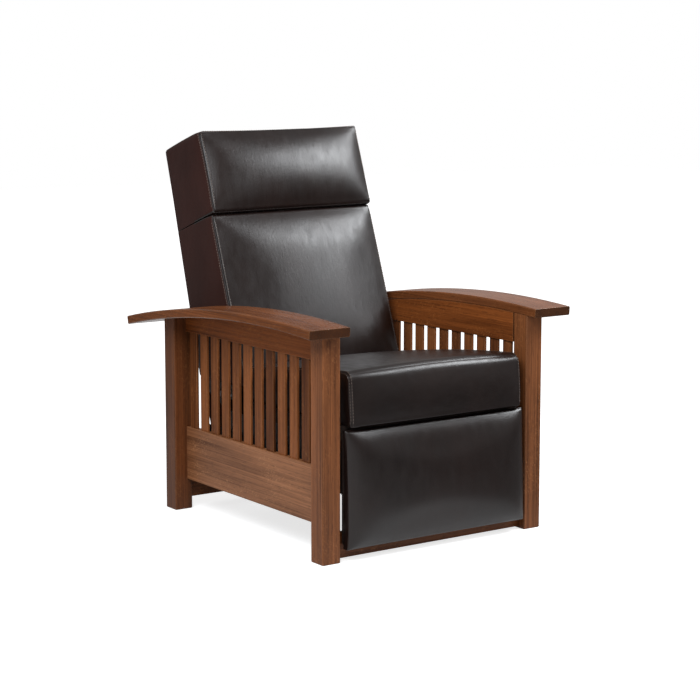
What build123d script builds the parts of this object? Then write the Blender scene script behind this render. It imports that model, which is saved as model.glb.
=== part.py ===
from build123d import *
import os
from math import asin, cos, degrees, radians, sin, sqrt

os.makedirs("parts", exist_ok=True)

# A mission reclining armchair in oak and dark leather: two slatted sides under bowed arms, a
# seat on swing links, a back hinged behind it and a leg rest on a scissor linkage.
# Millimetres. Z is up, the front faces -Y, and X runs across. While a piece is made, Y is
# counted from the front faces of the front posts. The last lines move the whole chair so
# that its origin is on the floor under the middle of it.

# Side frames
post_face_x = 374
post_size = 57
post_ease = 2.5
foot_chamfer = 2
chair_depth = 829

# Bowed arms
arm_width = 127
arm_overhang = 67
arm_thickness = 25
arm_front_reach = 40
arm_rear_reach = 103
arm_crest_height = 645
arm_crest_y = 227
arm_bow_radius = 3290
arm_ease = 2.5

# Side rails and their joints
rail_thickness = 19
rail_setback = 40
bottom_rail_low = 91
bottom_rail_height = 157
top_rail_height = 88
tenon_length = 25
tenon_thickness = 9
tenon_cheek = 4.5
bottom_tenon_shoulder = 18
top_tenon_shoulder = 8
top_tenon_height = 24
joint_gap = 0.2

# Tenons on the posts, up into the arms
post_tenon_width = 32
post_tenon_height = 14

# Slats
slat_count = 12
slat_width = 37
slat_thickness = 8
slat_housing = 8
slat_end_gap = 14
slat_ease = 1

# Stretchers between the two sides
stretcher_thickness = 22
front_stretcher_setback = 28
front_stretcher_low = 5
front_stretcher_height = 68
rear_stretcher_setback = 18
rear_stretcher_low = 31
rear_stretcher_height = 70
stretcher_shoulder = 10
stretcher_tenon_thickness = 12

# Steel mechanism plates and links
plate_thickness = 3
running_gap = 0.5
pin_radius = 4
pin_gap = 0.2
pin_head_radius = 7.5
pin_head_height = 2
link_width = 20

# Fixed base plates
base_plate_front = 62
base_plate_rear = 700
base_plate_low = 165
base_plate_height = 103
base_corner = 12
base_pivot_z = 190
front_swing_y = 230
rear_swing_y = 500
swing_length = 105
swing_lean_angle = 22
cross_tube_radius = 10
cross_tube_bore = 8
cross_tube_places = (330, 405)
cross_tube_z = 182

# Screws
screw_radius = 2.2
screw_gap = 0.2
screw_head_radius = 4.5
screw_head_height = 2.4
screw_sides = 6
screw_bite = 12
base_screw_inset = 75
base_screw_z = 214

# Seat plates, with an ear for the back's pivot
seat_plate_front = 96
seat_plate_rear = 566
seat_plate_low = 264
seat_plate_top = 322
seat_plate_nose = 30
seat_plate_corner = 8
seat_flange_front = 100
seat_flange_rear = 480
seat_flange_width = 23
back_pivot_y = 610
back_pivot_z = 366
back_pivot_radius = 6
back_ear_radius = 18
seat_screw_inset = 25

# Leg rest linkage: two stacked parallelograms that turn the pad by as much as the main link
main_pivot_y = 112
main_pivot_z = 308
main_link_reach = 148
main_link_tail = 55
main_link_hang_angle = 65
foot_link_reach = 153.5
foot_link_tail = 50
foot_link_rise_angle = 33.2
knee_tube_radius = 8
knee_tube_bore = 6

# Leg rest
leg_board_front = 10
leg_board_thickness = 12
leg_board_inset = 5
leg_board_low = 40
leg_board_top = 348
leg_board_corner = 12
leg_pad_side_gap = 14
leg_pad_low = 34
leg_pad_top = 354
leg_pad_boxing = 22
leg_pad_crown = 28
leg_pad_pull = 4
bracket_foot_low = 178
bracket_foot_top = 296
bracket_boss = 15
bracket_flange_width = 24
bracket_screw_inset = 13
bracket_screw_bite = 6

# Seat frame and cushion
seat_rail_thickness = 20
seat_rail_front = 26
seat_rail_rear = 492
seat_cross_rail_thickness = 22
seat_deck_z = 362
strap_width = 46
strap_thickness = 2
seat_strap_count = 5
soft_gap = 0.3
seat_side_gap = 26
seat_nose_y = -20
seat_nose_bulge = 7
seat_nose_height = 115
seat_nose_round = 26
seat_nose_lean_shares = (0.1, 1)
seat_front_height = 144
seat_rear_height = 88
seat_top_crown = 6
seat_side_crown = 12
seat_side_pull = 5

# Back: measured from its front seam line, v up along it and w forward out of it
back_seam_y = 540
back_seam_z = 453
back_tilt_angle = 19.8
back_low_v = -60
back_split_v = 457
back_top_v = 704
back_split_gap = 5
back_depth_low = 247
back_depth_top = 204
back_bottom_z = 396
back_panel_low_z = 110
back_side_gap = 31
back_pull = 4
back_wing = 8
back_panel_thickness = 5
body_crown = 22
head_crown = 38

# Back frame inside the cushions
stile_width = 22
stile_depth = 40
stile_low_v = -20
back_rail_height = 45
back_rail_low_v = 40
back_strap_places = (150, 250, 350, 450, 550)
back_screw_insets = (9, 26)
back_bracket_top_gap = 5
back_bracket_height = 30
back_bracket_reach = 9

# Values that follow from the ones above
post_inner_x = post_face_x - post_size
post_middle_x = (post_face_x + post_inner_x) / 2
rear_post_y = chair_depth - post_size
rail_outer_x = post_face_x - rail_setback
rail_inner_x = rail_outer_x - rail_thickness
rail_middle_x = rail_outer_x - rail_thickness / 2
tenon_outer_x = rail_outer_x - tenon_cheek
tenon_inner_x = tenon_outer_x - tenon_thickness
bottom_rail_top = bottom_rail_low + bottom_rail_height
top_rail_low = arm_crest_height - arm_thickness - top_rail_height
seat_half_width = rail_inner_x - seat_side_gap
back_half_width = rail_inner_x - back_side_gap
leg_pad_half_width = post_inner_x - leg_pad_side_gap
leg_board_half_width = leg_pad_half_width - leg_board_inset
bow_centre_z = arm_crest_height - arm_bow_radius
arm_under_radius = arm_bow_radius - arm_thickness
arm_outer_x = post_face_x + arm_overhang
slat_gap = (rear_post_y - post_size - slat_count * slat_width - 2 * slat_end_gap) / (slat_count - 1)
first_slat_y = post_size + slat_end_gap + slat_width / 2
slat_places = [first_slat_y + i * (slat_gap + slat_width) for i in range(slat_count)]

# The steel layers, from the side rail inward
base_plate_x = rail_inner_x
swing_x = base_plate_x - plate_thickness - running_gap
seat_plate_x = swing_x - plate_thickness - running_gap
main_link_x = seat_plate_x - plate_thickness - running_gap
foot_link_x = main_link_x - plate_thickness - running_gap
bracket_x = foot_link_x - plate_thickness - running_gap
bracket_inner_x = bracket_x - plate_thickness


def step(start, length, angle):
    """The place reached from start by a length at an angle above the rear direction."""
    return (start[0] + length * cos(radians(angle)), start[1] + length * sin(radians(angle)))


# Pivots in side view, as (y, z) at rest
swing_offset = swing_length * sin(radians(swing_lean_angle))
swing_top_z = base_pivot_z + swing_length * cos(radians(swing_lean_angle))
front_base_pivot = (front_swing_y, base_pivot_z)
rear_base_pivot = (rear_swing_y, base_pivot_z)
front_seat_pivot = (front_swing_y + swing_offset, swing_top_z)
rear_seat_pivot = (rear_swing_y + swing_offset, swing_top_z)
back_pivot = (back_pivot_y, back_pivot_z)
main_pivot = (main_pivot_y, main_pivot_z)
knee_pivot = step(main_pivot, main_link_reach, -main_link_hang_angle)
tail_pivot = step(main_pivot, main_link_reach + main_link_tail, -main_link_hang_angle)
board_pivot = step(knee_pivot, -foot_link_reach, -foot_link_rise_angle)
foot_tail_pivot = step(knee_pivot, foot_link_tail, -foot_link_rise_angle)
control_pivot = step(main_pivot, foot_link_tail, -foot_link_rise_angle)
tilt_pivot = step(board_pivot, main_link_tail, -main_link_hang_angle)

pieces = {}


def keep(name, piece):
    """Files one finished piece under its name."""
    pieces[name] = piece


def keep_pair(name, left):
    """Files a left piece, and its mirror image as the right one."""
    keep(f"{name}_left", left)
    keep(f"{name}_right", mirror(left, about=Plane.YZ))


def block(low, high, mode=Mode.ADD):
    """A rectangular block between two corners."""
    size = [far - near for near, far in zip(low, high)]
    middle = [(near + far) / 2 for near, far in zip(low, high)]
    with Locations(tuple(middle)):
        Box(*size, mode=mode)


def round_bar(place, radius, x_from, x_to, mode=Mode.ADD):
    """A round bar or hole along X at a place in side view."""
    with BuildSketch(Plane.YZ.offset(x_from)) as disc:
        with Locations(place):
            Circle(radius)
    extrude(disc.sketch, amount=x_to - x_from, mode=mode)


def side_plate(points, x_outer, thickness, mode=Mode.ADD):
    """A plate on the left side, outlined in side view, from its outer face inward."""
    with BuildSketch(Plane.YZ.offset(-x_outer)) as outline:
        with BuildLine():
            Polyline(*points, close=True)
        make_face()
    extrude(outline.sketch, amount=thickness, mode=mode)


def link_bar(start, end, x_outer):
    """A flat bar with round ends, from its first pivot to its last."""
    length = sqrt((end[0] - start[0]) ** 2 + (end[1] - start[1]) ** 2)
    angle = degrees(asin((end[1] - start[1]) / length))
    if end[0] < start[0]:
        angle = 180 - angle
    middle = ((start[0] + end[0]) / 2, (start[1] + end[1]) / 2)
    with BuildSketch(Plane.YZ.offset(-x_outer)) as bar:
        with Locations(middle):
            SlotCenterToCenter(length, link_width, rotation=angle)
    extrude(bar.sketch, amount=plate_thickness)


def pin_hole(place, x_outer, radius=pin_radius + pin_gap):
    """A pin's hole through a plate of the steel layers."""
    round_bar(place, radius, -x_outer, -x_outer + plate_thickness, Mode.SUBTRACT)


def rivet(place, x_outer, x_inner, outer_head, inner_head):
    """A pin through the steel layers between two faces, with a head beyond each face that has one."""
    round_bar(place, pin_radius, -x_outer, -x_inner)
    if outer_head:
        round_bar(place, pin_head_radius, -x_outer - pin_head_height, -x_outer)
    if inner_head:
        round_bar(place, pin_head_radius, -x_inner, -x_inner + pin_head_height)


def both_sides(make):
    """Runs a maker of left pieces, then mirrors them inside the same part."""
    make()
    mirror(about=Plane.YZ)


def under_the_arm():
    """Trims a post or rail to the arched underside of the arm."""
    with BuildSketch(Plane.YZ.offset(-arm_outer_x)) as under:
        with Locations((arm_crest_y, bow_centre_z)):
            Circle(arm_under_radius)
    extrude(under.sketch, amount=2 * arm_outer_x, mode=Mode.INTERSECT)


def post_tenon(post_y, clearance=0, mode=Mode.ADD):
    """The tenon from a left post into its arm, or the arm's mortise where a clearance is given."""
    middle_y = post_y + post_size / 2
    reach = post_tenon_width / 2 + clearance
    shoulder_z = bow_centre_z + sqrt(arm_under_radius**2 - (middle_y - arm_crest_y) ** 2)
    block(
        (-post_middle_x - reach, middle_y - reach, shoulder_z - post_tenon_height),
        (-post_middle_x + reach, middle_y + reach, shoulder_z + post_tenon_height + clearance),
        mode,
    )


def screws(seat, places, way, bite):
    """Hex-headed screws: each head stands on a plane, and its shank goes through a plate and into the wood."""
    with BuildSketch(seat) as heads:
        with Locations(*places):
            RegularPolygon(screw_head_radius, screw_sides)
    extrude(heads.sketch, amount=way * screw_head_height)
    with BuildSketch(seat) as shanks:
        with Locations(*places):
            Circle(screw_radius)
    extrude(shanks.sketch, amount=-way * (plate_thickness + bite))


def screw_holes(seat, places, way, bite):
    """The holes for such screws, through the plate and a little deeper than they bite."""
    with BuildSketch(seat) as holes:
        with Locations(*places):
            Circle(screw_radius + screw_gap)
    extrude(holes.sketch, amount=-way * (plate_thickness + bite + screw_gap), mode=Mode.SUBTRACT)


# Posts, each with mortises for two side rails and a stretcher
for end, post_y, mouth_y, into in (("front", 0, post_size, -1), ("rear", rear_post_y, rear_post_y, 1)):
    floor_y = mouth_y + into * (tenon_length + joint_gap)
    mortise_y = sorted((floor_y, mouth_y))
    if end == "front":
        stretcher_y = front_stretcher_setback
        stretcher_z = front_stretcher_low
        stretcher_height = front_stretcher_height
    else:
        stretcher_y = rear_post_y + rear_stretcher_setback
        stretcher_z = rear_stretcher_low
        stretcher_height = rear_stretcher_height
    stretcher_cheek = (stretcher_thickness - stretcher_tenon_thickness) / 2
    with BuildPart() as post:
        with BuildSketch():
            with Locations((-post_middle_x, post_y + post_size / 2)):
                Rectangle(post_size, post_size)
        extrude(amount=arm_crest_height)
        chamfer(post.edges().filter_by(Axis.Z), post_ease)
        chamfer(post.faces().sort_by(Axis.Z)[0].edges(), foot_chamfer)
        under_the_arm()
        block(
            (-tenon_outer_x - joint_gap, mortise_y[0], bottom_rail_low + bottom_tenon_shoulder - joint_gap),
            (-tenon_inner_x + joint_gap, mortise_y[1], bottom_rail_top - bottom_tenon_shoulder + joint_gap),
            Mode.SUBTRACT,
        )
        block(
            (-tenon_outer_x - joint_gap, mortise_y[0], top_rail_low + top_tenon_shoulder - joint_gap),
            (-tenon_inner_x + joint_gap, mortise_y[1], top_rail_low + top_tenon_shoulder + top_tenon_height + joint_gap),
            Mode.SUBTRACT,
        )
        block(
            (
                -post_inner_x - tenon_length - joint_gap,
                stretcher_y + stretcher_cheek - joint_gap,
                stretcher_z + stretcher_shoulder - joint_gap,
            ),
            (
                -post_inner_x,
                stretcher_y + stretcher_thickness - stretcher_cheek + joint_gap,
                stretcher_z + stretcher_height - stretcher_shoulder + joint_gap,
            ),
            Mode.SUBTRACT,
        )
        post_tenon(post_y)
    keep_pair(f"{end}_post", post.part)

# Arms, one bowed board each, its ends cut square to the bow
front_angle = 90 + degrees(asin((arm_crest_y + arm_front_reach) / arm_bow_radius))
rear_angle = 90 - degrees(asin((chair_depth + arm_rear_reach - arm_crest_y) / arm_bow_radius))
with BuildPart() as arm:
    with BuildSketch(Plane.YZ.offset(-arm_outer_x)):
        with BuildLine():
            top = CenterArc((arm_crest_y, bow_centre_z), arm_bow_radius, rear_angle, front_angle - rear_angle)
            under = CenterArc((arm_crest_y, bow_centre_z), arm_under_radius, rear_angle, front_angle - rear_angle)
            Line(top @ 0, under @ 0)
            Line(top @ 1, under @ 1)
        make_face()
    extrude(amount=arm_width)
    chamfer(arm.edges().filter_by(GeomType.CIRCLE), arm_ease)
    for post_y in (0, rear_post_y):
        post_tenon(post_y, joint_gap, Mode.SUBTRACT)
keep_pair("arm", arm.part)

# Bottom side rails, with tenons, slat housings and holes for the base plate's screws
base_screw_seat = Plane.YZ.offset(-base_plate_x + plate_thickness)
base_screw_places = [
    (front_swing_y + base_screw_inset, base_screw_z),
    (rear_swing_y - base_screw_inset, base_screw_z),
]
with BuildPart() as bottom_rail:
    block((-rail_outer_x, post_size, bottom_rail_low), (-rail_inner_x, rear_post_y, bottom_rail_top))
    block(
        (-tenon_outer_x, post_size - tenon_length, bottom_rail_low + bottom_tenon_shoulder),
        (-tenon_inner_x, rear_post_y + tenon_length, bottom_rail_top - bottom_tenon_shoulder),
    )
    with Locations(*[(-rail_middle_x, y, bottom_rail_top - slat_housing / 2) for y in slat_places]):
        Box(
            slat_thickness + 2 * joint_gap,
            slat_width + 2 * joint_gap,
            slat_housing,
            mode=Mode.SUBTRACT,
        )
    screw_holes(base_screw_seat, base_screw_places, 1, screw_bite)
keep_pair("bottom_rail", bottom_rail.part)

# Top side rails, arched to the arm, with the same tenons and housings
with BuildPart() as top_rail:
    block((-rail_outer_x, post_size, top_rail_low), (-rail_inner_x, rear_post_y, arm_crest_height))
    under_the_arm()
    block(
        (-tenon_outer_x, post_size - tenon_length, top_rail_low + top_tenon_shoulder),
        (-tenon_inner_x, rear_post_y + tenon_length, top_rail_low + top_tenon_shoulder + top_tenon_height),
    )
    with Locations(*[(-rail_middle_x, y, top_rail_low + slat_housing / 2) for y in slat_places]):
        Box(
            slat_thickness + 2 * joint_gap,
            slat_width + 2 * joint_gap,
            slat_housing,
            mode=Mode.SUBTRACT,
        )
keep_pair("top_rail", top_rail.part)

# Slats, housed in both rails
with BuildPart() as slats:
    for y in slat_places:
        block(
            (-rail_middle_x - slat_thickness / 2, y - slat_width / 2, bottom_rail_top - slat_housing),
            (-rail_middle_x + slat_thickness / 2, y + slat_width / 2, top_rail_low + slat_housing - joint_gap),
        )
    chamfer(slats.edges().filter_by(Axis.Z), slat_ease)
keep_pair("slats", slats.part)

# Stretchers, low between the posts
stretchers = (
    ("front_stretcher", front_stretcher_setback, front_stretcher_low, front_stretcher_height),
    ("rear_stretcher", rear_post_y + rear_stretcher_setback, rear_stretcher_low, rear_stretcher_height),
)
for name, y, z, height in stretchers:
    cheek = (stretcher_thickness - stretcher_tenon_thickness) / 2
    with BuildPart() as stretcher:
        block((-post_inner_x, y, z), (post_inner_x, y + stretcher_thickness, z + height))
        block(
            (-post_inner_x - tenon_length, y + cheek, z + stretcher_shoulder),
            (post_inner_x + tenon_length, y + stretcher_thickness - cheek, z + height - stretcher_shoulder),
        )
    keep(name, stretcher.part)

# Base plates, screwed inside the bottom rails
with BuildPart() as base_plate:
    with BuildSketch(Plane.YZ.offset(-base_plate_x)):
        with Locations(((base_plate_front + base_plate_rear) / 2, base_plate_low + base_plate_height / 2)):
            RectangleRounded(base_plate_rear - base_plate_front, base_plate_height, base_corner)
    extrude(amount=plate_thickness)
    for pivot in (front_base_pivot, rear_base_pivot):
        pin_hole(pivot, base_plate_x)
    screw_holes(base_screw_seat, base_screw_places, 1, screw_bite)
keep_pair("base_plate", base_plate.part)


def base_pins():
    for pivot in (front_base_pivot, rear_base_pivot):
        rivet(pivot, base_plate_x, swing_x - plate_thickness - running_gap, False, True)


with BuildPart() as base_plate_screws:
    screws(base_screw_seat, base_screw_places, 1, screw_bite)
    mirror(about=Plane.YZ)
keep("base_plate_screws", base_plate_screws.part)

with BuildPart() as base_pivot_pins:
    both_sides(base_pins)
keep("base_pivot_pins", base_pivot_pins.part)

# Two steel tubes that hold the base plates apart
with BuildPart() as base_cross_tubes:
    tube_end = base_plate_x - plate_thickness
    for y in cross_tube_places:
        round_bar((y, cross_tube_z), cross_tube_radius, -tube_end, tube_end)
        round_bar((y, cross_tube_z), cross_tube_bore, -tube_end, tube_end, Mode.SUBTRACT)
keep("base_cross_tubes", base_cross_tubes.part)

# Plain links, one on each side: two pairs swing the seat, two pairs guide the leg rest
for name, low_pivot, high_pivot, x_outer in (
    ("front_swing_links", front_base_pivot, front_seat_pivot, swing_x),
    ("rear_swing_links", rear_base_pivot, rear_seat_pivot, swing_x),
    ("control_links", foot_tail_pivot, control_pivot, main_link_x),
    ("tilt_links", tail_pivot, tilt_pivot, foot_link_x),
):
    with BuildPart() as plain_links:
        link_bar(low_pivot, high_pivot, x_outer)
        pin_hole(low_pivot, x_outer)
        pin_hole(high_pivot, x_outer)
        mirror(about=Plane.YZ)
    keep(name, plain_links.part)

# Seat plates: a web with a top flange under the seat rail and an ear for the back's pivot
ear_front = back_pivot_y - back_ear_radius
ear_rear = back_pivot_y + back_ear_radius
flange_middle = seat_plate_x - seat_flange_width / 2
seat_screw_seat = Plane.XY.offset(seat_plate_top)
seat_screw_places = [
    (-flange_middle, seat_flange_front + seat_screw_inset),
    (-flange_middle, seat_flange_rear - seat_screw_inset),
]
with BuildPart() as seat_plate:
    with BuildSketch(Plane.YZ.offset(-seat_plate_x)):
        with BuildLine():
            Polyline(
                (seat_plate_front, seat_plate_top),
                (seat_plate_front, main_pivot_z - link_width / 2),
                (seat_plate_front + seat_plate_nose, seat_plate_low),
                (seat_plate_rear, seat_plate_low),
                (ear_rear, back_pivot_z - back_ear_radius),
                (ear_rear, back_pivot_z + back_ear_radius),
                (ear_front, back_pivot_z + back_ear_radius),
                (seat_plate_rear, seat_plate_top),
                close=True,
            )
        make_face()
        fillet(vertices(), seat_plate_corner)
    extrude(amount=plate_thickness)
    block(
        (-seat_plate_x, seat_flange_front, seat_plate_top),
        (-seat_plate_x + seat_flange_width, seat_flange_rear, seat_plate_top + plate_thickness),
    )
    block(
        (-seat_plate_x, seat_flange_front, seat_plate_top - seat_plate_corner),
        (-seat_plate_x + plate_thickness, seat_flange_rear, seat_plate_top),
    )
    for pivot in (front_seat_pivot, rear_seat_pivot, main_pivot, control_pivot):
        pin_hole(pivot, seat_plate_x)
    pin_hole(back_pivot, seat_plate_x, back_pivot_radius + pin_gap)
    screw_holes(seat_screw_seat, seat_screw_places, -1, screw_bite)
keep_pair("seat_plate", seat_plate.part)

# Wooden seat frame on the flanges
seat_rail_low = seat_plate_top + plate_thickness
seat_rail_outer_x = seat_plate_x - plate_thickness / 2
seat_rail_inner_x = seat_rail_outer_x - seat_rail_thickness
with BuildPart() as seat_side_rail:
    block(
        (-seat_rail_outer_x, seat_rail_front, seat_rail_low),
        (-seat_rail_inner_x, seat_rail_rear, seat_deck_z),
    )
    screw_holes(seat_screw_seat, seat_screw_places, -1, screw_bite)
keep_pair("seat_side_rail", seat_side_rail.part)

for name, y in (
    ("seat_front_rail", seat_rail_front),
    ("seat_rear_rail", seat_rail_rear - seat_cross_rail_thickness),
):
    with BuildPart() as cross_rail:
        block(
            (-seat_rail_inner_x, y, seat_rail_low),
            (seat_rail_inner_x, y + seat_cross_rail_thickness, seat_deck_z),
        )
    keep(name, cross_rail.part)

with BuildPart() as seat_plate_screws:
    screws(seat_screw_seat, seat_screw_places, -1, screw_bite)
    mirror(about=Plane.YZ)
keep("seat_plate_screws", seat_plate_screws.part)

# Elastic webbing stretched from the front rail to the rear rail
strap_pitch = 2 * seat_rail_inner_x / seat_strap_count
with BuildPart() as seat_webbing:
    for i in range(seat_strap_count):
        x = (i - (seat_strap_count - 1) / 2) * strap_pitch
        block(
            (x - strap_width / 2, seat_rail_front, seat_deck_z),
            (x + strap_width / 2, seat_rail_rear, seat_deck_z + strap_thickness),
        )
keep("seat_webbing", seat_webbing.part)


def seat_pins():
    for pivot in (front_seat_pivot, rear_seat_pivot):
        rivet(pivot, swing_x + running_gap, seat_plate_x - plate_thickness, True, False)
    for pivot in (main_pivot, control_pivot):
        rivet(pivot, seat_plate_x, foot_link_x, False, True)


with BuildPart() as seat_pivot_pins:
    both_sides(seat_pins)
keep("seat_pivot_pins", seat_pivot_pins.part)

# Seat cushion: a crowned wedge with a waterfall front, cut from its side and front outlines
cushion_low = seat_deck_z + strap_thickness + soft_gap
nose_top_z = cushion_low + seat_nose_height
crest_z = cushion_low + seat_front_height
crest_y = seat_nose_y + seat_nose_round


def back_at(v, w):
    """A place in side view from its height along the back's seam line and its distance before it."""
    tilt = radians(back_tilt_angle)
    return (
        back_seam_y + v * sin(tilt) - w * cos(tilt),
        back_seam_z + v * cos(tilt) + w * sin(tilt),
    )


def back_depth(v):
    """How deep the back is behind its seam line at a height."""
    share = (v - back_low_v) / (back_top_v - back_low_v)
    return back_depth_low + share * (back_depth_top - back_depth_low)


def rear_at(v, inset):
    """A place in side view that lies an inset before the back's rear face."""
    return back_at(v, inset - back_depth(v))


def height_along_back(z, w):
    """The height along the seam line of a level plane, at a distance before it."""
    tilt = radians(back_tilt_angle)
    return (z - back_seam_z - w * sin(tilt)) / cos(tilt)


rest_w = body_crown + soft_gap
seat_rear_top = back_at(height_along_back(cushion_low + seat_rear_height, rest_w), rest_w)
seat_rear_low = back_at(height_along_back(cushion_low, rest_w), rest_w)
top_slope = degrees(asin((crest_z - seat_rear_top[1]) / (seat_rear_top[0] - crest_y)))
with BuildPart() as seat_cushion:
    with BuildSketch(Plane.YZ.offset(-seat_half_width)):
        with BuildLine():
            Line(seat_rear_low, (seat_nose_y, cushion_low))
            ThreePointArc(
                (seat_nose_y, cushion_low),
                (seat_nose_y - seat_nose_bulge, cushion_low + seat_nose_height / 2),
                (seat_nose_y, nose_top_z),
            )
            TangentArc((seat_nose_y, nose_top_z), (crest_y, crest_z), tangent=seat_nose_lean_shares)
            ThreePointArc(
                (crest_y, crest_z),
                (
                    (crest_y + seat_rear_top[0]) / 2,
                    (crest_z + seat_rear_top[1]) / 2 + seat_top_crown,
                ),
                seat_rear_top,
            )
            Line(seat_rear_top, seat_rear_low)
        make_face()
    extrude(amount=2 * seat_half_width)
    along_the_top = Plane(
        origin=(0, crest_y, crest_z),
        x_dir=(1, 0, 0),
        z_dir=(0, -cos(radians(top_slope)), sin(radians(top_slope))),
    )
    with BuildSketch(along_the_top):
        half = seat_half_width
        low = -2 * seat_front_height
        high = seat_top_crown - seat_side_crown
        with BuildLine():
            Line((-half, low), (half, low))
            ThreePointArc((half, low), (half - seat_side_pull, (low + high) / 2), (half, high))
            ThreePointArc((half, high), (0, high + seat_side_crown), (-half, high))
            ThreePointArc((-half, high), (-half + seat_side_pull, (low + high) / 2), (-half, low))
        make_face()
    extrude(amount=chair_depth, both=True, mode=Mode.INTERSECT)
keep("seat_cushion", seat_cushion.part)


def drawn_in(half_width, low, high, pull):
    """A cushion's outline whose four sides pull in between the corners, or swell where pull is negative."""
    middle = (low + high) / 2
    with BuildLine() as sides:
        ThreePointArc((-half_width, low), (0, low + pull), (half_width, low))
        ThreePointArc((half_width, low), (half_width - pull, middle), (half_width, high))
        ThreePointArc((half_width, high), (0, high - pull), (-half_width, high))
        ThreePointArc((-half_width, high), (-half_width + pull, middle), (-half_width, low))
    make_face(sides.edges())


# How a crowned face rises: shares of its crown, of its half height drawn in, and of its swell
crown_shares = ((0, 0, 1), (0.5, 0.1, -1), (0.86, 0.3, -3), (1, 0.55, -4))


def crown(plane, half_width, low, high, rise, pull):
    """A pillow face: outlines that shrink and swell as they rise off the seam."""
    half_height = (high - low) / 2
    sections = []
    for rise_share, inset_share, pull_share in crown_shares:
        inset = inset_share * half_height
        with BuildSketch(plane.offset(rise_share * rise)) as section:
            drawn_in(half_width - inset, low + inset, high - inset, pull_share * pull)
        sections.append(section.sketch.faces()[0])
    loft(sections)


# Head and body cushions: boxed sides round the back frame, and a crowned front
tilt = radians(back_tilt_angle)
back_face = Plane(
    origin=(0, back_seam_y, back_seam_z),
    x_dir=(1, 0, 0),
    z_dir=(0, -cos(tilt), sin(tilt)),
)
pocket_half = back_half_width - back_wing
pocket_depth = back_panel_thickness + stile_depth + strap_thickness + soft_gap
bottom_rear_v = height_along_back(back_bottom_z, -back_depth(0))
bottom_front_v = height_along_back(back_bottom_z, 0)
cushions = (
    ("body_cushion", bottom_front_v, bottom_rear_v, back_split_v, back_split_v, body_crown),
    (
        "head_cushion",
        back_split_v + back_split_gap,
        back_split_v + back_split_gap,
        back_top_v,
        back_top_v - back_wing,
        head_crown,
    ),
)
for name, low_v, low_rear_v, high_v, pocket_high_v, rise in cushions:
    with BuildPart() as cushion:
        with BuildSketch(back_face):
            drawn_in(back_half_width, low_v, high_v, back_pull)
        extrude(amount=-2 * back_depth_low)
        with BuildSketch(Plane.YZ.offset(-post_face_x)):
            with BuildLine():
                Polyline(
                    back_at(low_v, 0),
                    back_at(high_v, 0),
                    rear_at(high_v, 0),
                    rear_at(low_rear_v, 0),
                    close=True,
                )
            make_face()
        extrude(amount=2 * post_face_x, mode=Mode.INTERSECT)
        crown(back_face, back_half_width, low_v, high_v, rise, back_pull)
        with BuildSketch(Plane.YZ.offset(-pocket_half)):
            with BuildLine():
                Polyline(
                    rear_at(low_v - 2 * back_wing, -back_wing),
                    rear_at(pocket_high_v, -back_wing),
                    rear_at(pocket_high_v, pocket_depth),
                    rear_at(low_v - 2 * back_wing, pocket_depth),
                    close=True,
                )
            make_face()
        extrude(amount=2 * pocket_half, mode=Mode.SUBTRACT)
    keep(name, cushion.part)

# Back frame: two stiles and two rails, with webbing across their front
frame_half = pocket_half - soft_gap
frame_inset = back_panel_thickness
frame_top_v = back_top_v - back_wing - soft_gap


def back_slab(low_v, high_v, near, far, x_from, x_to):
    """A slab of the back frame between two insets from the rear face."""
    with BuildSketch(Plane.YZ.offset(x_from)) as slab:
        with BuildLine():
            Polyline(
                rear_at(low_v, near),
                rear_at(high_v, near),
                rear_at(high_v, far),
                rear_at(low_v, far),
                close=True,
            )
        make_face()
    extrude(slab.sketch, amount=x_to - x_from)


back_bracket_x = frame_half + plate_thickness
back_screw_seat = Plane.YZ.offset(-back_bracket_x)
back_screw_places = [
    rear_at(stile_low_v + inset, frame_inset + stile_depth / 2) for inset in back_screw_insets
]
with BuildPart() as back_stile:
    back_slab(
        stile_low_v, frame_top_v, frame_inset, frame_inset + stile_depth, -frame_half, -frame_half + stile_width
    )
    screw_holes(back_screw_seat, back_screw_places, -1, screw_bite)
keep_pair("back_stile", back_stile.part)

rail_half = frame_half - stile_width
for name, low_v in (
    ("back_lower_rail", back_rail_low_v),
    ("back_top_rail", frame_top_v - back_rail_height),
):
    with BuildPart() as back_rail:
        back_slab(
            low_v, low_v + back_rail_height, frame_inset, frame_inset + stile_depth, -rail_half, rail_half
        )
    keep(name, back_rail.part)

with BuildPart() as back_webbing:
    for v in back_strap_places:
        back_slab(
            v - strap_width / 2,
            v + strap_width / 2,
            frame_inset + stile_depth,
            frame_inset + stile_depth + strap_thickness,
            -frame_half,
            frame_half,
        )
keep("back_webbing", back_webbing.part)

# The panel closes the back from behind, down past the mechanism to just above the rear stretcher
panel_low_v = height_along_back(back_panel_low_z, -back_depth(0))
with BuildPart() as back_panel:
    back_slab(panel_low_v, frame_top_v, 0, back_panel_thickness, -frame_half, frame_half)
keep("back_panel", back_panel.part)

# Steel brackets from the stiles forward to the back's pivots
stile_foot = rear_at(stile_low_v, frame_inset)
stile_toe = rear_at(stile_low_v, frame_inset + stile_depth)
bracket_top_z = back_bottom_z - back_bracket_top_gap
with BuildPart() as back_bracket:
    side_plate(
        (
            (back_pivot_y - back_ear_radius, back_pivot_z - back_ear_radius),
            (back_pivot_y - back_ear_radius, back_pivot_z + back_ear_radius),
            (back_pivot_y, bracket_top_z),
            (stile_foot[0] + back_bracket_reach, bracket_top_z),
            (stile_foot[0], bracket_top_z - back_bracket_height),
            (stile_toe[0], back_pivot_z - back_ear_radius),
        ),
        back_bracket_x,
        plate_thickness,
    )
    pin_hole(back_pivot, back_bracket_x, back_pivot_radius + pin_gap)
    screw_holes(back_screw_seat, back_screw_places, -1, screw_bite)
keep_pair("back_bracket", back_bracket.part)

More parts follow.
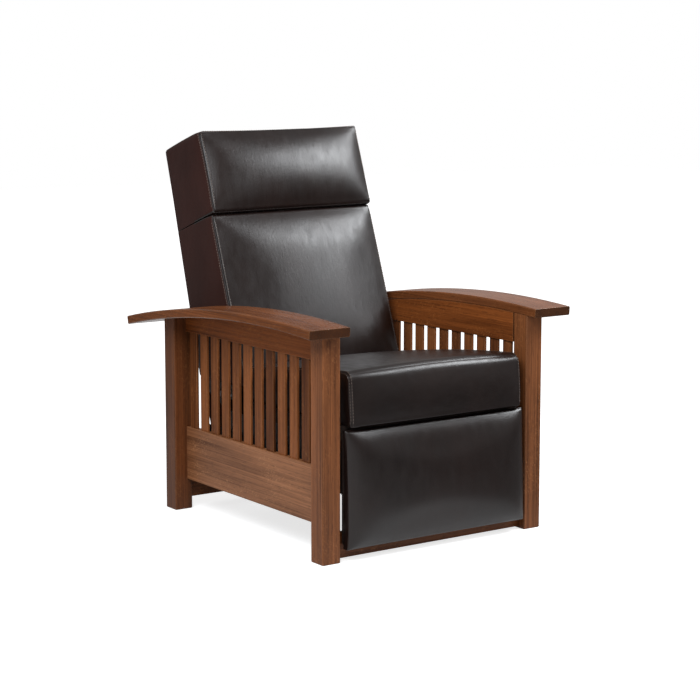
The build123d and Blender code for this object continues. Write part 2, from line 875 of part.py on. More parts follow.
with BuildPart() as back_bracket_screws:
    screws(back_screw_seat, back_screw_places, -1, screw_bite)
    mirror(about=Plane.YZ)
keep("back_bracket_screws", back_bracket_screws.part)


def back_studs():
    head_x = -seat_plate_x - pin_head_height
    nut_x = -back_bracket_x + plate_thickness + running_gap
    round_bar(back_pivot, back_pivot_radius, head_x, nut_x)
    round_bar(back_pivot, 2 * back_pivot_radius, head_x, -seat_plate_x)
    round_bar(
        back_pivot,
        2 * back_pivot_radius,
        -seat_plate_x + plate_thickness,
        -back_bracket_x - running_gap,
    )
    round_bar(back_pivot, 2 * back_pivot_radius, nut_x, nut_x + 2 * pin_head_height)


with BuildPart() as back_pivot_studs:
    both_sides(back_studs)
keep("back_pivot_studs", back_pivot_studs.part)

# The two long links of the leg rest's scissor, which cross at the knee
for name, first_pivot, last_pivot, x_outer in (
    ("main_link", main_pivot, tail_pivot, main_link_x),
    ("foot_link", board_pivot, foot_tail_pivot, foot_link_x),
):
    with BuildPart() as link:
        link_bar(first_pivot, last_pivot, x_outer)
        for hole in (first_pivot, knee_pivot, last_pivot):
            pin_hole(hole, x_outer)
    keep_pair(name, link.part)


def knee_pins():
    rivet(knee_pivot, main_link_x, foot_link_x - plate_thickness - running_gap, False, False)


def main_tail_pins():
    rivet(tail_pivot, main_link_x, foot_link_x - plate_thickness, False, True)


# The knee pins end in a cross tube that keeps the two sides together
with BuildPart() as knee_tube:
    both_sides(knee_pins)
    tube_end = foot_link_x - plate_thickness - running_gap
    round_bar(knee_pivot, knee_tube_radius, -tube_end, tube_end)
    round_bar(knee_pivot, knee_tube_bore, -tube_end + pin_radius, tube_end - pin_radius, Mode.SUBTRACT)
keep("knee_tube", knee_tube.part)


def foot_tail_pins():
    rivet(foot_tail_pivot, main_link_x, foot_link_x - plate_thickness, False, True)


with BuildPart() as foot_link_pins:
    both_sides(foot_tail_pins)
keep("foot_link_pins", foot_link_pins.part)

with BuildPart() as main_link_pins:
    both_sides(main_tail_pins)
keep("main_link_pins", main_link_pins.part)

# Leg rest: brackets, board and crowned pad
leg_board_back = leg_board_front + leg_board_thickness
flange_screw_x = bracket_x - plate_thickness - (bracket_flange_width - plate_thickness) / 2
leg_screw_seat = Plane.XZ.offset(-leg_board_back - plate_thickness)
leg_screw_places = [
    (-flange_screw_x, bracket_foot_low + bracket_screw_inset),
    (-flange_screw_x, bracket_foot_top - bracket_screw_inset),
]
with BuildPart() as leg_rest_bracket:
    side_plate(
        (
            (leg_board_back, bracket_foot_low),
            (tilt_pivot[0], tilt_pivot[1] - bracket_boss),
            (tilt_pivot[0] + bracket_boss, tilt_pivot[1]),
            (board_pivot[0] + bracket_boss, board_pivot[1] + bracket_boss / 2),
            (leg_board_back, bracket_foot_top),
        ),
        bracket_x,
        plate_thickness,
    )
    block(
        (-bracket_x, leg_board_back, bracket_foot_low),
        (-bracket_x + bracket_flange_width, leg_board_back + plate_thickness, bracket_foot_top),
    )
    pin_hole(board_pivot, bracket_x)
    pin_hole(tilt_pivot, bracket_x)
    screw_holes(leg_screw_seat, leg_screw_places, -1, bracket_screw_bite)
keep_pair("leg_rest_bracket", leg_rest_bracket.part)

with BuildPart() as leg_rest_board:
    with BuildSketch(Plane.XZ.offset(-leg_board_back)):
        with Locations((0, (leg_board_low + leg_board_top) / 2)):
            RectangleRounded(2 * leg_board_half_width, leg_board_top - leg_board_low, leg_board_corner)
    extrude(amount=leg_board_thickness)
    both_sides_places = leg_screw_places + [(-x, z) for x, z in leg_screw_places]
    screw_holes(leg_screw_seat, both_sides_places, -1, bracket_screw_bite)
keep("leg_rest_board", leg_rest_board.part)

with BuildPart() as leg_rest_screws:
    screws(leg_screw_seat, both_sides_places, -1, bracket_screw_bite)
keep("leg_rest_screws", leg_rest_screws.part)


def bracket_pins():
    for pivot in (board_pivot, tilt_pivot):
        rivet(pivot, foot_link_x + running_gap, bracket_inner_x, True, False)


with BuildPart() as leg_rest_pins:
    both_sides(bracket_pins)
keep("leg_rest_pins", leg_rest_pins.part)

pad_seam_y = leg_board_front - leg_pad_boxing
pad_face = Plane.XZ.offset(-pad_seam_y)
with BuildPart() as leg_rest_pad:
    with BuildSketch(pad_face):
        drawn_in(leg_pad_half_width, leg_pad_low, leg_pad_top, leg_pad_pull)
    extrude(amount=-leg_pad_boxing + soft_gap)
    crown(pad_face, leg_pad_half_width, leg_pad_low, leg_pad_top, leg_pad_crown, leg_pad_pull)
keep("leg_rest_pad", leg_rest_pad.part)

# The origin goes on the floor under the middle of the chair
boxes = [piece.bounding_box() for piece in pieces.values()]
foremost = min(box.min.Y for box in boxes)
rearmost = max(box.max.Y for box in boxes)
to_origin = Location((0, -(foremost + rearmost) / 2, 0))
print("the chair runs from y", round(foremost, 3), "to", round(rearmost, 3))
for name, piece in pieces.items():
    standing = piece.moved(to_origin)
    standing.label = name
    export_step(standing, f"parts/{name}.step")

for name, pivot in (
    ("front swing", front_base_pivot),
    ("rear swing", rear_base_pivot),
    ("seat level", front_seat_pivot),
    ("back", back_pivot),
    ("main link", main_pivot),
    ("knee", knee_pivot),
    ("tail", tail_pivot),
    ("board", board_pivot),
    ("control", control_pivot),
):
    print(name, "pivot at y", round(pivot[0] + to_origin.position.Y, 3), "z", round(pivot[1], 3))
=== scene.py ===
# %% [markdown]
# A mission reclining armchair: oak sides with slats under bowed arms, and dark leather cushions on
# a frame that reclines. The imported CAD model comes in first, as a frame that nothing here moves.
# Each wooden or steel part keeps its CAD shape and gets a finish, and each soft part is made new
# in its place, because leather over foam has folds and fullness that a solid lacks.

# %% Load the frame
import math

import bpy
import numpy as np
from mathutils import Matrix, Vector
from mathutils.bvhtree import BVHTree


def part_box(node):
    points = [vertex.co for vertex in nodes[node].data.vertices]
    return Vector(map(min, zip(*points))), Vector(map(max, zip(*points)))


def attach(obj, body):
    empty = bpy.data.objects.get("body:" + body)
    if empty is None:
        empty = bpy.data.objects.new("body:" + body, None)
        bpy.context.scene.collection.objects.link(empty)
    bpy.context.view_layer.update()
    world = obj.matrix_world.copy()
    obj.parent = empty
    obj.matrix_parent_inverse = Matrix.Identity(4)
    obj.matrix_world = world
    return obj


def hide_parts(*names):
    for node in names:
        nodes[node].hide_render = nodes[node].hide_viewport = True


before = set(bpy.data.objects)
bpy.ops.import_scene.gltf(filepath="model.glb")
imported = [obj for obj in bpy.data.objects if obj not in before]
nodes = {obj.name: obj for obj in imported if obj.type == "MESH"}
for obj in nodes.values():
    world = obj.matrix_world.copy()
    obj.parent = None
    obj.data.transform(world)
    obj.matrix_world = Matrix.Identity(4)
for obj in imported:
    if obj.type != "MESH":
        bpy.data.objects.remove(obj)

scene = bpy.context.scene
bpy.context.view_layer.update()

# %% [markdown]
# The camera looks down slightly from the chair's front left, as the photograph does. Its place
# comes from the chair's own corners: known points of the posts, arms and cushions were matched to
# where they appear. The small shift puts the chair where it stands in the picture.

# %% Camera
camera_azimuth = math.radians(-35.088)
camera_elevation = math.radians(7.524)
camera_data = bpy.data.cameras.new("camera")
camera_data.lens = 96.44
camera_data.sensor_width = 36
camera_data.shift_y = -0.05
camera = bpy.data.objects.new("camera", camera_data)
scene.collection.objects.link(camera)
toward_camera = Vector((
    math.sin(camera_azimuth) * math.cos(camera_elevation),
    -math.cos(camera_azimuth) * math.cos(camera_elevation),
    math.sin(camera_elevation),
))
camera.location = (-3.0730, -4.4312, 1.3001)
camera.rotation_mode = "QUATERNION"
camera.rotation_quaternion = (-toward_camera).to_track_quat("-Z", "Y")
scene.camera = camera
print("camera at", [round(c, 3) for c in camera.location])


# %% [markdown]
# Colours are written as sRGB hex values, the way a paint chart gives them, and one function turns
# them to the linear light that the shaders work in. The next adds a shader node, with its settings,
# its plain values and its links. Short ones after it stand for the nodes that come up again and
# again, so that each finish reads as a list of layers.

# %% Colour and node helpers
def linear(colour):
    """An sRGB hex colour as linear light: s / 12.92 up to 0.04045, ((s + 0.055) / 1.055) ^ 2.4 above."""
    shares = np.array([int(colour[i:i + 2], 16) for i in (1, 3, 5)]) / 255
    light = np.where(shares <= 0.04045, shares / 12.92, ((shares + 0.055) / 1.055) ** 2.4)
    return (*light.tolist(), 1.0)


def add(finish, kind, sockets=(), stops=(), **settings):
    """Adds one node. Each of its sockets gets a value or another node's output, and a ramp its stops."""
    tree = finish.node_tree
    node = tree.nodes.new("ShaderNode" + kind)
    for name, value in settings.items():
        setattr(node, name, value)
    for name, value in dict(sockets).items():
        if isinstance(value, bpy.types.NodeSocket):
            tree.links.new(value, node.inputs[name])
        else:
            node.inputs[name].default_value = value
    for i, (place, colour) in enumerate(stops):
        element = node.color_ramp.elements[i] if i < 2 else node.color_ramp.elements.new(place)
        element.position = place
        element.color = linear(colour)
    return node


def new_finish(name):
    """An empty material, and where each of its points lies on its object, in metres."""
    finish = bpy.data.materials.new(name)
    finish.use_nodes = True
    finish.node_tree.nodes.clear()
    return finish, add(finish, "TexCoord").outputs["Object"]


def surface(finish, shader):
    """Links a shader to the material's output."""
    add(finish, "OutputMaterial", {"Surface": shader.outputs[0]})
    return finish


def glazed(finish, sockets):
    """Ends a finish with one principled shader."""
    return surface(finish, add(finish, "BsdfPrincipled", sockets))


def maths(finish, operation, *values):
    """The outcome of one operation on up to three values."""
    return add(finish, "Math", dict(enumerate(values)), operation=operation).outputs[0]


def ranged(finish, value, start=0.0, end=1.0, low=0.0, high=1.0):
    """Low where the value is at start or before it, high from its end on, and even between them."""
    sockets = {"Value": value, "From Min": start, "From Max": end, "To Min": low, "To Max": high}
    return add(finish, "MapRange", sockets).outputs[0]


def shaded(finish, value, stops):
    """The colour of a ramp at a value, from the places and colours of its stops."""
    return add(finish, "ValToRGB", {0: value}, stops=stops).outputs[0]


def layered(finish, share, under, over):
    """A colour with a share of another laid over it."""
    return add(finish, "Mix", {0: share, 6: under, 7: over}, data_type="RGBA").outputs[2]


def bumped(finish, strength, distance, height, **under):
    """The normal of a surface with a relief, on top of another normal where one is given."""
    sockets = {"Strength": strength, "Distance": distance, "Height": height, **under}
    return add(finish, "Bump", sockets).outputs[0]


def edge_wear(finish, radius, start, end, most):
    """The rounded normal of the corners, and a share that grows to its most on a corner itself. It
    goes by how well the rounded normal agrees with the flat one: from start, a little off, to end."""
    corner = add(finish, "Bevel", {"Radius": radius}, samples=4).outputs[0]
    flat = add(finish, "NewGeometry").outputs["Normal"]
    agree = add(finish, "VectorMath", {0: corner, 1: flat}, operation="DOT_PRODUCT").outputs["Value"]
    return corner, ranged(finish, agree, start, end, high=most)


def stretched_noise(finish, place, across_mm, along_mm, **sockets):
    """Noise whose features are so many millimetres across the grain and along it, which is Z."""
    scale = (1000 / across_mm, 1000 / across_mm, 1000 / along_mm)
    scaled = add(finish, "Mapping", {"Vector": place, "Scale": scale})
    settings = {"Vector": scaled.outputs[0], "Scale": 1.0, "Detail": 2.0, "Roughness": 0.55}
    return add(finish, "TexNoise", {**settings, **sockets}).outputs[0]


# %% [markdown]
# A chair is photographed for a catalogue on white, with big soft lamps: one high at the right,
# which draws the broad sheen on the leather, and a wide one high at the left that opens up the
# slatted side and leaves a shade below the arm. They are flash tubes behind white cloth, a touch
# cooler than the white of the paper. The background is white to the eye, and a dimmer white room
# in reflections. The floor is a real surface, so it keeps the chair's soft shadow. Near the chair
# the lamps alone make it nearly white, so the glow that the eye gets from it rises outward. It is
# paper off a roll 2.6 m wide that runs toward the camera, its middle 0.8 m left of the chair as the
# camera sees it. The studio's own floor beside the paper is darker. Only reflections show it, and
# it keeps the leather deep where that faces right.

# %% Floor, background and lamps
def lamp(name, place, aim, size, watts):
    """A square or oblong soft box that faces its aim."""
    data = bpy.data.lights.new(name, "AREA")
    data.shape = "RECTANGLE"
    data.size, data.size_y = size
    data.energy = watts
    data.color = (0.94, 0.97, 1.0)
    body = bpy.data.objects.new(name, data)
    scene.collection.objects.link(body)
    body.location = place
    body.rotation_mode = "QUATERNION"
    body.rotation_quaternion = (Vector(place) - Vector(aim)).to_track_quat("Z", "Y")


def seen(finish):
    """1 for the rays of the eye, of mirrors and of glass, and 0 for the light that falls on things."""
    path = add(finish, "LightPath")
    eye_or_mirror = maths(finish, "MAXIMUM", path.outputs["Is Camera Ray"], path.outputs["Is Glossy Ray"])
    return maths(finish, "MAXIMUM", eye_or_mirror, path.outputs["Is Transmission Ray"])


world = bpy.data.worlds.new("studio")
world.use_nodes = True
world.node_tree.nodes.clear()
room_light, mirror_light = 0.34, 0.42
strength = ranged(world, seen(world), low=room_light, high=mirror_light)
by_eye = add(world, "LightPath").outputs["Is Camera Ray"]
strength = add(world, "Mix", {0: by_eye, 2: strength, 3: 1.0}, data_type="FLOAT").outputs[0]
sky = add(world, "Background", {"Color": (1, 1, 1, 1), "Strength": strength})
add(world, "OutputWorld", {"Surface": sky.outputs[0]})
scene.world = world
scene.view_settings.view_transform = "Standard"

floor_half = 14
floor_corners = [(x * floor_half, y * floor_half, 0) for x, y in ((-1, -1), (1, -1), (1, 1), (-1, 1))]
floor_mesh = bpy.data.meshes.new("floor")
floor_mesh.from_pydata(floor_corners, [], [(0, 1, 2, 3)])
floor = bpy.data.objects.new("floor", floor_mesh)
scene.collection.objects.link(floor)
paper, place = new_finish("white_paper_sweep")
from_chair = add(paper, "VectorMath", {0: place}, operation="LENGTH").outputs["Value"]
roll_turn, roll_middle, roll_half, roll_fade = math.radians(-35), -0.8, 1.3, 0.45
across_roll = (math.cos(roll_turn), math.sin(roll_turn), 0)
aside = add(paper, "VectorMath", {0: place, 1: across_roll}, operation="DOT_PRODUCT").outputs["Value"]
aside = maths(paper, "ABSOLUTE", maths(paper, "SUBTRACT", aside, roll_middle))
off_roll = ranged(paper, aside, roll_half, roll_half + roll_fade)
mirrored = add(paper, "LightPath").outputs["Is Glossy Ray"]
bare = maths(paper, "MULTIPLY", off_roll, mirrored)
colour = layered(paper, bare, linear("#D2D2D2"), linear("#4A4A4A"))
matt = add(paper, "BsdfDiffuse", {"Color": colour})
in_mirrors = ranged(paper, off_roll, low=0.33, high=0.1)
to_eye = ranged(paper, from_chair, 1.0, 4.0, 0.74, 1.0)
by_eye = add(paper, "LightPath").outputs["Is Camera Ray"]
glow_level = add(paper, "Mix", {0: by_eye, 2: in_mirrors, 3: to_eye}, data_type="FLOAT").outputs[0]
glow = add(paper, "Emission", {"Strength": maths(paper, "MULTIPLY", seen(paper), glow_level)})
surface(paper, add(paper, "AddShader", {0: matt.outputs[0], 1: glow.outputs[0]}))
floor_mesh.materials.append(paper)

lamp("key_soft_box", (2.0, -1.15, 2.5), (0, 0.1, 0.85), (1.5, 1.25), 106)
lamp("fill_soft_box", (-2.0, -1.5, 2.45), (0, -0.1, 0.5), (2.2, 1.6), 84)
print("lamps: 2, room light", room_light)


# %% [markdown]
# Oak is a ring-porous wood. Cut on the quarter, its face shows fine straight rings, short dark
# pores along them and pale flecks where the rays come to the surface, lying across the grain. A
# brown stain sinks into the pores and darkens the end grain, a satin lacquer goes over it, and
# handling rubs the corners lighter and polishes the arms. The grain runs along each board, so the
# same finish is made for boards that stand and for boards that lie along Y or X. Real pores are
# 0.3 mm wide, too fine to show here, so they are drawn about 2 mm wide. Each kind of board is given
# a dark, a light and a fleck colour: the rear posts darker ones than the front posts, and the
# bottom rails lighter ones than the rest.

# %% Stained oak
along_z, along_y, along_x = (0, 0, 0), (math.radians(90), 0, 0), (0, math.radians(90), 0)
pore_stain, end_stain, rubbed_oak = linear("#2A140A"), linear("#2B1A10"), linear("#B07C52")


def stained_oak(name, turn, dark, light, fleck, pitch=0.0, first=0.0, polish=(0.38, 0.5), ior=1.3):
    """Lacquered quartersawn oak. Boards that repeat along Y at a pitch each get a tone of their own.
    Polish is the least and the most roughness of its lacquer. A thin coat has a low index, because
    the pores open through it."""
    oak, place = new_finish(name)
    tone_shift = 0.0
    if pitch:
        y = add(oak, "SeparateXYZ", {0: place}).outputs[1]
        board = maths(oak, "FLOOR", maths(oak, "DIVIDE", maths(oak, "SUBTRACT", y, first), pitch))
        own = add(oak, "TexWhiteNoise", {"W": board}, noise_dimensions="1D")
        place = add(oak, "VectorMath", {0: own.outputs["Color"], 1: place}, operation="ADD").outputs[0]
        tone_shift = ranged(oak, own.outputs["Value"], low=-0.13, high=0.13)
    grain = add(oak, "Mapping", {"Vector": place, "Rotation": turn}).outputs[0]
    tone = stretched_noise(oak, grain, 50, 600)
    rings = stretched_noise(oak, grain, 4.5, 420, Detail=3.0, Distortion=0.25)
    pores = stretched_noise(oak, grain, 2.0, 30, Detail=1.0)
    slant = add(oak, "Mapping", {"Vector": grain, "Rotation": (0.5, 0.5, 0)}).outputs[0]
    rays = stretched_noise(oak, slant, 5, 34, Detail=2.0, Distortion=1.2)
    patches = stretched_noise(oak, grain, 70, 130, Detail=1.0)

    depth = maths(oak, "MULTIPLY_ADD", tone, 0.5, maths(oak, "MULTIPLY", rings, 0.62))
    depth = maths(oak, "ADD", depth, tone_shift)
    colour = shaded(oak, depth, [(0.38, dark), (0.74, light)])
    fleck_mask = maths(oak, "MULTIPLY", ranged(oak, rays, 0.56, 0.66), ranged(oak, patches, 0.46, 0.62))
    colour = layered(oak, maths(oak, "MULTIPLY", fleck_mask, 0.55), colour, linear(fleck))
    pore_mask = ranged(oak, pores, 0.6, 0.72)
    colour = layered(oak, maths(oak, "MULTIPLY", pore_mask, 0.5), colour, pore_stain)

    facing = add(oak, "TexCoord").outputs["Normal"]
    facing = add(oak, "Mapping", {"Vector": facing, "Rotation": turn}, vector_type="NORMAL").outputs[0]
    along_grain = maths(oak, "ABSOLUTE", add(oak, "SeparateXYZ", {0: facing}).outputs[2])
    end_grain = ranged(oak, along_grain, 0.75, 0.95, high=0.75)
    colour = layered(oak, end_grain, colour, end_stain)
    corner, rubbed = edge_wear(oak, 0.0022, 0.995, 0.86, 0.4)
    colour = layered(oak, rubbed, colour, rubbed_oak)

    least, most = polish
    rough = ranged(oak, depth, 0.3, 0.8, most, least)
    bump = bumped(oak, 0.35, 0.0004, maths(oak, "MULTIPLY_ADD", pore_mask, -0.7, rings), Normal=corner)
    return glazed(oak, {"Base Color": colour, "Roughness": rough, "IOR": ior, "Normal": bump})


front_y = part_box("front_post_left")[0].y
slat_low, slat_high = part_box("slats_left")
slat_width, slat_count = 0.037, 12
slat_pitch = (slat_high.y - slat_low.y - slat_width) / (slat_count - 1)
slat_first = slat_low.y - (slat_pitch - slat_width) / 2

oaks = {
    "front_post": stained_oak("stained_oak_posts", along_z, "#4E2A12", "#8C5430", "#9A623A"),
    "rear_post": stained_oak("stained_oak_rear_posts", along_z, "#3E200D", "#744224", "#84522F"),
    "arm": stained_oak("stained_oak_arms", along_y, "#4A2610", "#804A28", "#925C38", polish=(0.22, 0.3)),
    "bottom_rail": stained_oak("stained_oak_bottom_rails", along_y, "#5C3720", "#A16B47", "#B58159"),
    "top_rail": stained_oak("stained_oak_top_rails", along_y, "#562B11", "#945226", "#A26434", ior=1.2),
    "slats": stained_oak(
        "stained_oak_slats", along_z, "#462410", "#8C532E", "#A0683E", slat_pitch, slat_first, ior=1.2,
    ),
}
stretcher_oak = stained_oak("stained_oak_stretchers", along_x, "#482511", "#7E4824", "#8C5932")


def both(*names):
    """The left and the right node of each name."""
    return [name + side for name in names for side in ("_left", "_right")]


def dress(names, finish):
    """Gives CAD nodes a finish, on every one of their material slots."""
    for name in names:
        materials = nodes[name].data.materials
        materials.clear()
        materials.append(finish)


for board, finish in oaks.items():
    dress(both(board), finish)
dress(["front_stretcher", "rear_stretcher"], stretcher_oak)
print("oak:", 2 * len(oaks) + 2, "nodes in", len(oaks) + 1, "finishes")

# %% [markdown]
# The seat and back frames inside the cushions are hardwood rails, sawn and coloured near black,
# partly a dark sealer and partly painted shade, so that nothing pale shows between the slats,
# where the inside of the chair lies in shade. The finish is thin and matt, and the saw's marks
# still show across the board every 3 mm or so.


# %% Dark sealer and painted shade on hardwood
def sealer_and_shade_hardwood(name, turn):
    """Near-black brown on sawn hardwood, partly a dark sealer and partly painted shade, with saw marks
    across the board.
    """
    wood, place = new_finish(name)
    grain = add(wood, "Mapping", {"Vector": place, "Rotation": turn}).outputs[0]
    fibres = stretched_noise(wood, grain, 3, 160, Detail=3.0)
    marks = stretched_noise(wood, grain, 60, 3, Detail=1.0)
    # The near-black colours are partly a sealer and partly painted shade for the chair's dark inside.
    colour = shaded(wood, fibres, [(0.35, "#1E1410"), (0.7, "#38261C")])
    bump = bumped(wood, 0.4, 0.0006, maths(wood, "MULTIPLY_ADD", marks, 0.6, fibres))
    return glazed(wood, {"Base Color": colour, "Roughness": 0.75, "IOR": 1.5, "Normal": bump})


cross_rails = ["seat_front_rail", "seat_rear_rail", "back_lower_rail", "back_top_rail", "leg_rest_board"]
dress(both("seat_side_rail"), sealer_and_shade_hardwood("sealer_and_shade_hardwood_side_rails", along_y))
dress(cross_rails, sealer_and_shade_hardwood("sealer_and_shade_hardwood_cross_rails", along_x))
dress(both("back_stile"), sealer_and_shade_hardwood("sealer_and_shade_hardwood_stiles", along_z))

# %% [markdown]
# The mechanism is stamped from 3 mm steel. Its plates, links and tubes are powder coated in satin
# black, which leaves a fine orange-peel skin about 3 mm from bump to bump, and thins on the edges.
# Rivets, studs and screws are zinc plated: bright, slightly blue, and cloudy from handling.


# %% Steel finishes
def powder_coat():
    """Satin black powder coat on steel: a fine orange-peel skin, greyer where it thins at the edges."""
    steel, place = new_finish("black_powder_coated_steel")
    peel = stretched_noise(steel, place, 3, 3, Detail=1.0)
    dust = stretched_noise(steel, place, 60, 60, Detail=3.0)
    corner, thin = edge_wear(steel, 0.0008, 0.99, 0.8, 0.5)
    black = shaded(steel, dust, [(0.35, "#141415"), (0.75, "#222224")])
    colour = layered(steel, thin, black, linear("#5A5A5C"))
    rough = ranged(steel, dust, low=0.32, high=0.5)
    bump = bumped(steel, 0.25, 0.0002, peel, Normal=corner)
    return glazed(steel, {"Base Color": colour, "Roughness": rough, "IOR": 1.5, "Normal": bump})


def zinc_plate():
    """Bright zinc on turned steel: cloudy, with the fine rings that the tool left."""
    zinc, place = new_finish("zinc_plated_steel")
    cloud = stretched_noise(zinc, place, 7, 7, Detail=3.0)
    rings = stretched_noise(zinc, place, 1.5, 1.5, Detail=1.0)
    colour = shaded(zinc, cloud, [(0.3, "#9FA3A8"), (0.6, "#C6C8C8"), (0.8, "#CFC9B4")])
    rough = ranged(zinc, cloud, low=0.25, high=0.48)
    bump = bumped(zinc, 0.2, 0.0001, rings)
    return glazed(zinc, {"Base Color": colour, "Metallic": 1.0, "Roughness": rough, "Normal": bump})


black_steel_nodes = both(
    "base_plate", "seat_plate", "back_bracket", "main_link", "foot_link", "leg_rest_bracket",
) + [
    "base_cross_tubes", "front_swing_links", "rear_swing_links", "control_links", "tilt_links", "knee_tube",
]
zinc_steel_nodes = [
    "base_plate_screws", "base_pivot_pins", "seat_plate_screws", "seat_pivot_pins", "back_pivot_studs",
    "back_bracket_screws", "main_link_pins", "foot_link_pins", "leg_rest_screws", "leg_rest_pins",
]
dress(black_steel_nodes, powder_coat())
dress(zinc_steel_nodes, zinc_plate())
print("steel:", len(black_steel_nodes), "coated and", len(zinc_steel_nodes), "plated nodes")

# %% [markdown]
# The leather is a corrected cowhide: dyed through, pressed with a fine pebble and finished with a
# semi-gloss pigment. It looks nearly black from the front, with a warm brown where no sheen lies
# on it. Its pebble is about 1 mm, too fine to show here, so it is drawn at 2.4 mm. Fine creases
# run up and down, as in a hide pulled over foam, and they break the sheen into streaks. The sides
# and the rear are cut from duller, redder split hide, as is usual where nobody sits.


# %% Leather
def cowhide(name, turn, crease, dyes=("#130B09", "#1B100D"), polish=(0.3, 0.4), gloss_level=0.45):
    """Pigmented cowhide. Crease is how far its creases stand out, polish its least and most roughness."""
    hide, place = new_finish(name)
    grain = add(hide, "Mapping", {"Vector": place, "Rotation": turn}).outputs[0]
    dye = stretched_noise(hide, grain, 140, 220, Detail=3.0)
    gloss = stretched_noise(hide, grain, 22, 60, Detail=3.0)
    creases = stretched_noise(hide, grain, 7, 60, Detail=3.0, Distortion=0.6)
    cells = {"Vector": place, "Scale": 1000 / 2.4, "Randomness": 0.9}
    pebble = add(hide, "TexVoronoi", cells, feature="SMOOTH_F1").outputs[0]
    fine = stretched_noise(hide, grain, 1.6, 1.6, Detail=1.0)
    colour = shaded(hide, dye, [(0.3, dyes[0]), (0.72, dyes[1])])
    least, most = polish
    rough = ranged(hide, gloss, 0.3, 0.7, least, most)
    coarse = bumped(hide, crease, 0.0012, creases)
    bump = bumped(hide, 0.16, 0.0005, maths(hide, "MULTIPLY_ADD", pebble, 0.6, fine), Normal=coarse)
    return glazed(hide, {
        "Base Color": colour, "Roughness": rough, "IOR": 1.45, "Specular IOR Level": gloss_level,
        "Normal": bump,
    })


hides = {
    "back": cowhide("brown_cowhide_back", along_z, 0.22),
    "seat": cowhide("brown_cowhide_seat", along_y, 0.1),
    "pad": cowhide("brown_cowhide_leg_pad", along_z, 0.12),
    "side": cowhide(
        "brown_split_hide_sides", along_z, 0.05,
        dyes=("#2A1410", "#351C17"), polish=(0.4, 0.5), gloss_level=0.19,
    ),
}

# %% [markdown]
# Every cushion here is a boxed one: a front panel, a strip of boxing round it and a flat rear. It
# could be a subdivided cube pushed about by hand. Instead the skin of a block of lattice points is
# numbered once, and a formula moves each lattice place to where the cushion has it, so the same
# few lines make all the cushions, with closely spaced lines where a seam needs them. A place is
# three shares of the block's size, and a share within a thousandth of 0 or 1 is on a face.


# %% Skin of a block
def block_skin(across, up, deep):
    """The places and quads of a block's skin. Each face is a grid of lattice corners, and each
    distinct lattice place is numbered once, so that the faces share their edges. Faces point out."""
    lines = [np.asarray(across, float), np.asarray(up, float), np.asarray(deep, float)]
    counts = [len(line) - 1 for line in lines]
    corners = [(0, 0), (1, 0), (1, 1), (0, 1)]
    quads = []
    for axis in range(3):
        u, v = (axis + 1) % 3, (axis + 2) % 3
        a, b = np.meshgrid(np.arange(counts[u]), np.arange(counts[v]), indexing="ij")
        for side in (0, 1):
            quad = np.zeros((a.size, 4, 3), int)
            quad[:, :, axis] = side * counts[axis]
            for n, (da, db) in enumerate(corners if side else corners[::-1]):
                quad[:, n, u] = (a + da).ravel()
                quad[:, n, v] = (b + db).ravel()
            quads.append(quad)
    places, numbers = np.unique(np.concatenate(quads).reshape(-1, 3), axis=0, return_inverse=True)
    shares = np.stack([lines[i][places[:, i]] for i in range(3)], axis=1)
    return shares, numbers.reshape(-1, 4)


on_first, on_last = 0.001, 0.999
seam_steps, hide_pitch = [0.0022, 0.0033, 0.0045], 0.0085
off_seam = 0.005
ridge_height, ridge_width, crease_depth, crease_width = 0.0011, 0.0045, 0.0042, 0.0016


def seam_relief(away):
    """How far a panel stands out at a distance from its seam: a sharp crease at the seam itself and
    a soft ridge 5 mm from it, where the hide is turned back underneath. Both are bell curves."""
    ridge = ridge_height * np.exp(-((away - off_seam) / ridge_width) ** 2)
    return ridge - crease_depth * np.exp(-(away / crease_width) ** 2)


def spaced(edge_steps, length, pitch):
    """Shares from 0 to 1 along a length: fixed small steps in from each end, and even ones between."""
    near = np.concatenate([[0], np.cumsum(edge_steps)])
    count = max(2, round((length - 2 * near[-1]) / pitch))
    middle = np.linspace(near[-1], length - near[-1], count + 1)
    return np.concatenate([near[:-1], middle, length - near[::-1][1:]]) / length


def solid_piece(name, points, faces, finish):
    """A mesh object at the origin from points in metres and faces, shaded smooth."""
    mesh = bpy.data.meshes.new(name)
    mesh.from_pydata(points.tolist(), [], faces if isinstance(faces, list) else faces.tolist())
    mesh.polygons.foreach_set("use_smooth", np.ones(len(mesh.polygons), bool))
    mesh.materials.append(finish)
    mesh.update()
    piece = bpy.data.objects.new(name, mesh)
    scene.collection.objects.link(piece)
    return piece


def points_of(piece):
    """The vertices of a mesh object as an array."""
    flat = np.zeros(3 * len(piece.data.vertices), np.float32)
    piece.data.vertices.foreach_get("co", flat)
    return flat.reshape(-1, 3).astype(float)


def move_points(piece, points):
    """Puts an array back as the vertices of a mesh object."""
    piece.data.vertices.foreach_set("co", points.astype(np.float32).ravel())
    piece.data.update()


# %% [markdown]
# A cushion takes its form from the push of the foam against a hide that its seams hold. So each
# front panel is run through Blender's cloth with pressure inside and no gravity, with its seams
# and boxing held. Good leather over new foam is taut, so the small puckers that cloth makes at a
# seam are evened out. How far a point may move is capped, and one subdivision smooths the result.


# %% Cloth under pressure
def evened(shift, quads, held, passes):
    """Averages every point's shift with its neighbours' along the quads' edges, a number of times."""
    one, other = quads.ravel(), np.roll(quads, 1, axis=1).ravel()
    ends, far_ends = np.concatenate([one, other]), np.concatenate([other, one])
    count = np.maximum(np.bincount(ends, minlength=len(shift)), 1)
    for _ in range(passes):
        near = np.stack([np.bincount(ends, shift[far_ends, i], len(shift)) for i in range(3)], axis=1)
        shift = 0.5 * shift + 0.5 * near / count[:, None]
        shift[held] = 0
    return shift


cloth_frames = 12


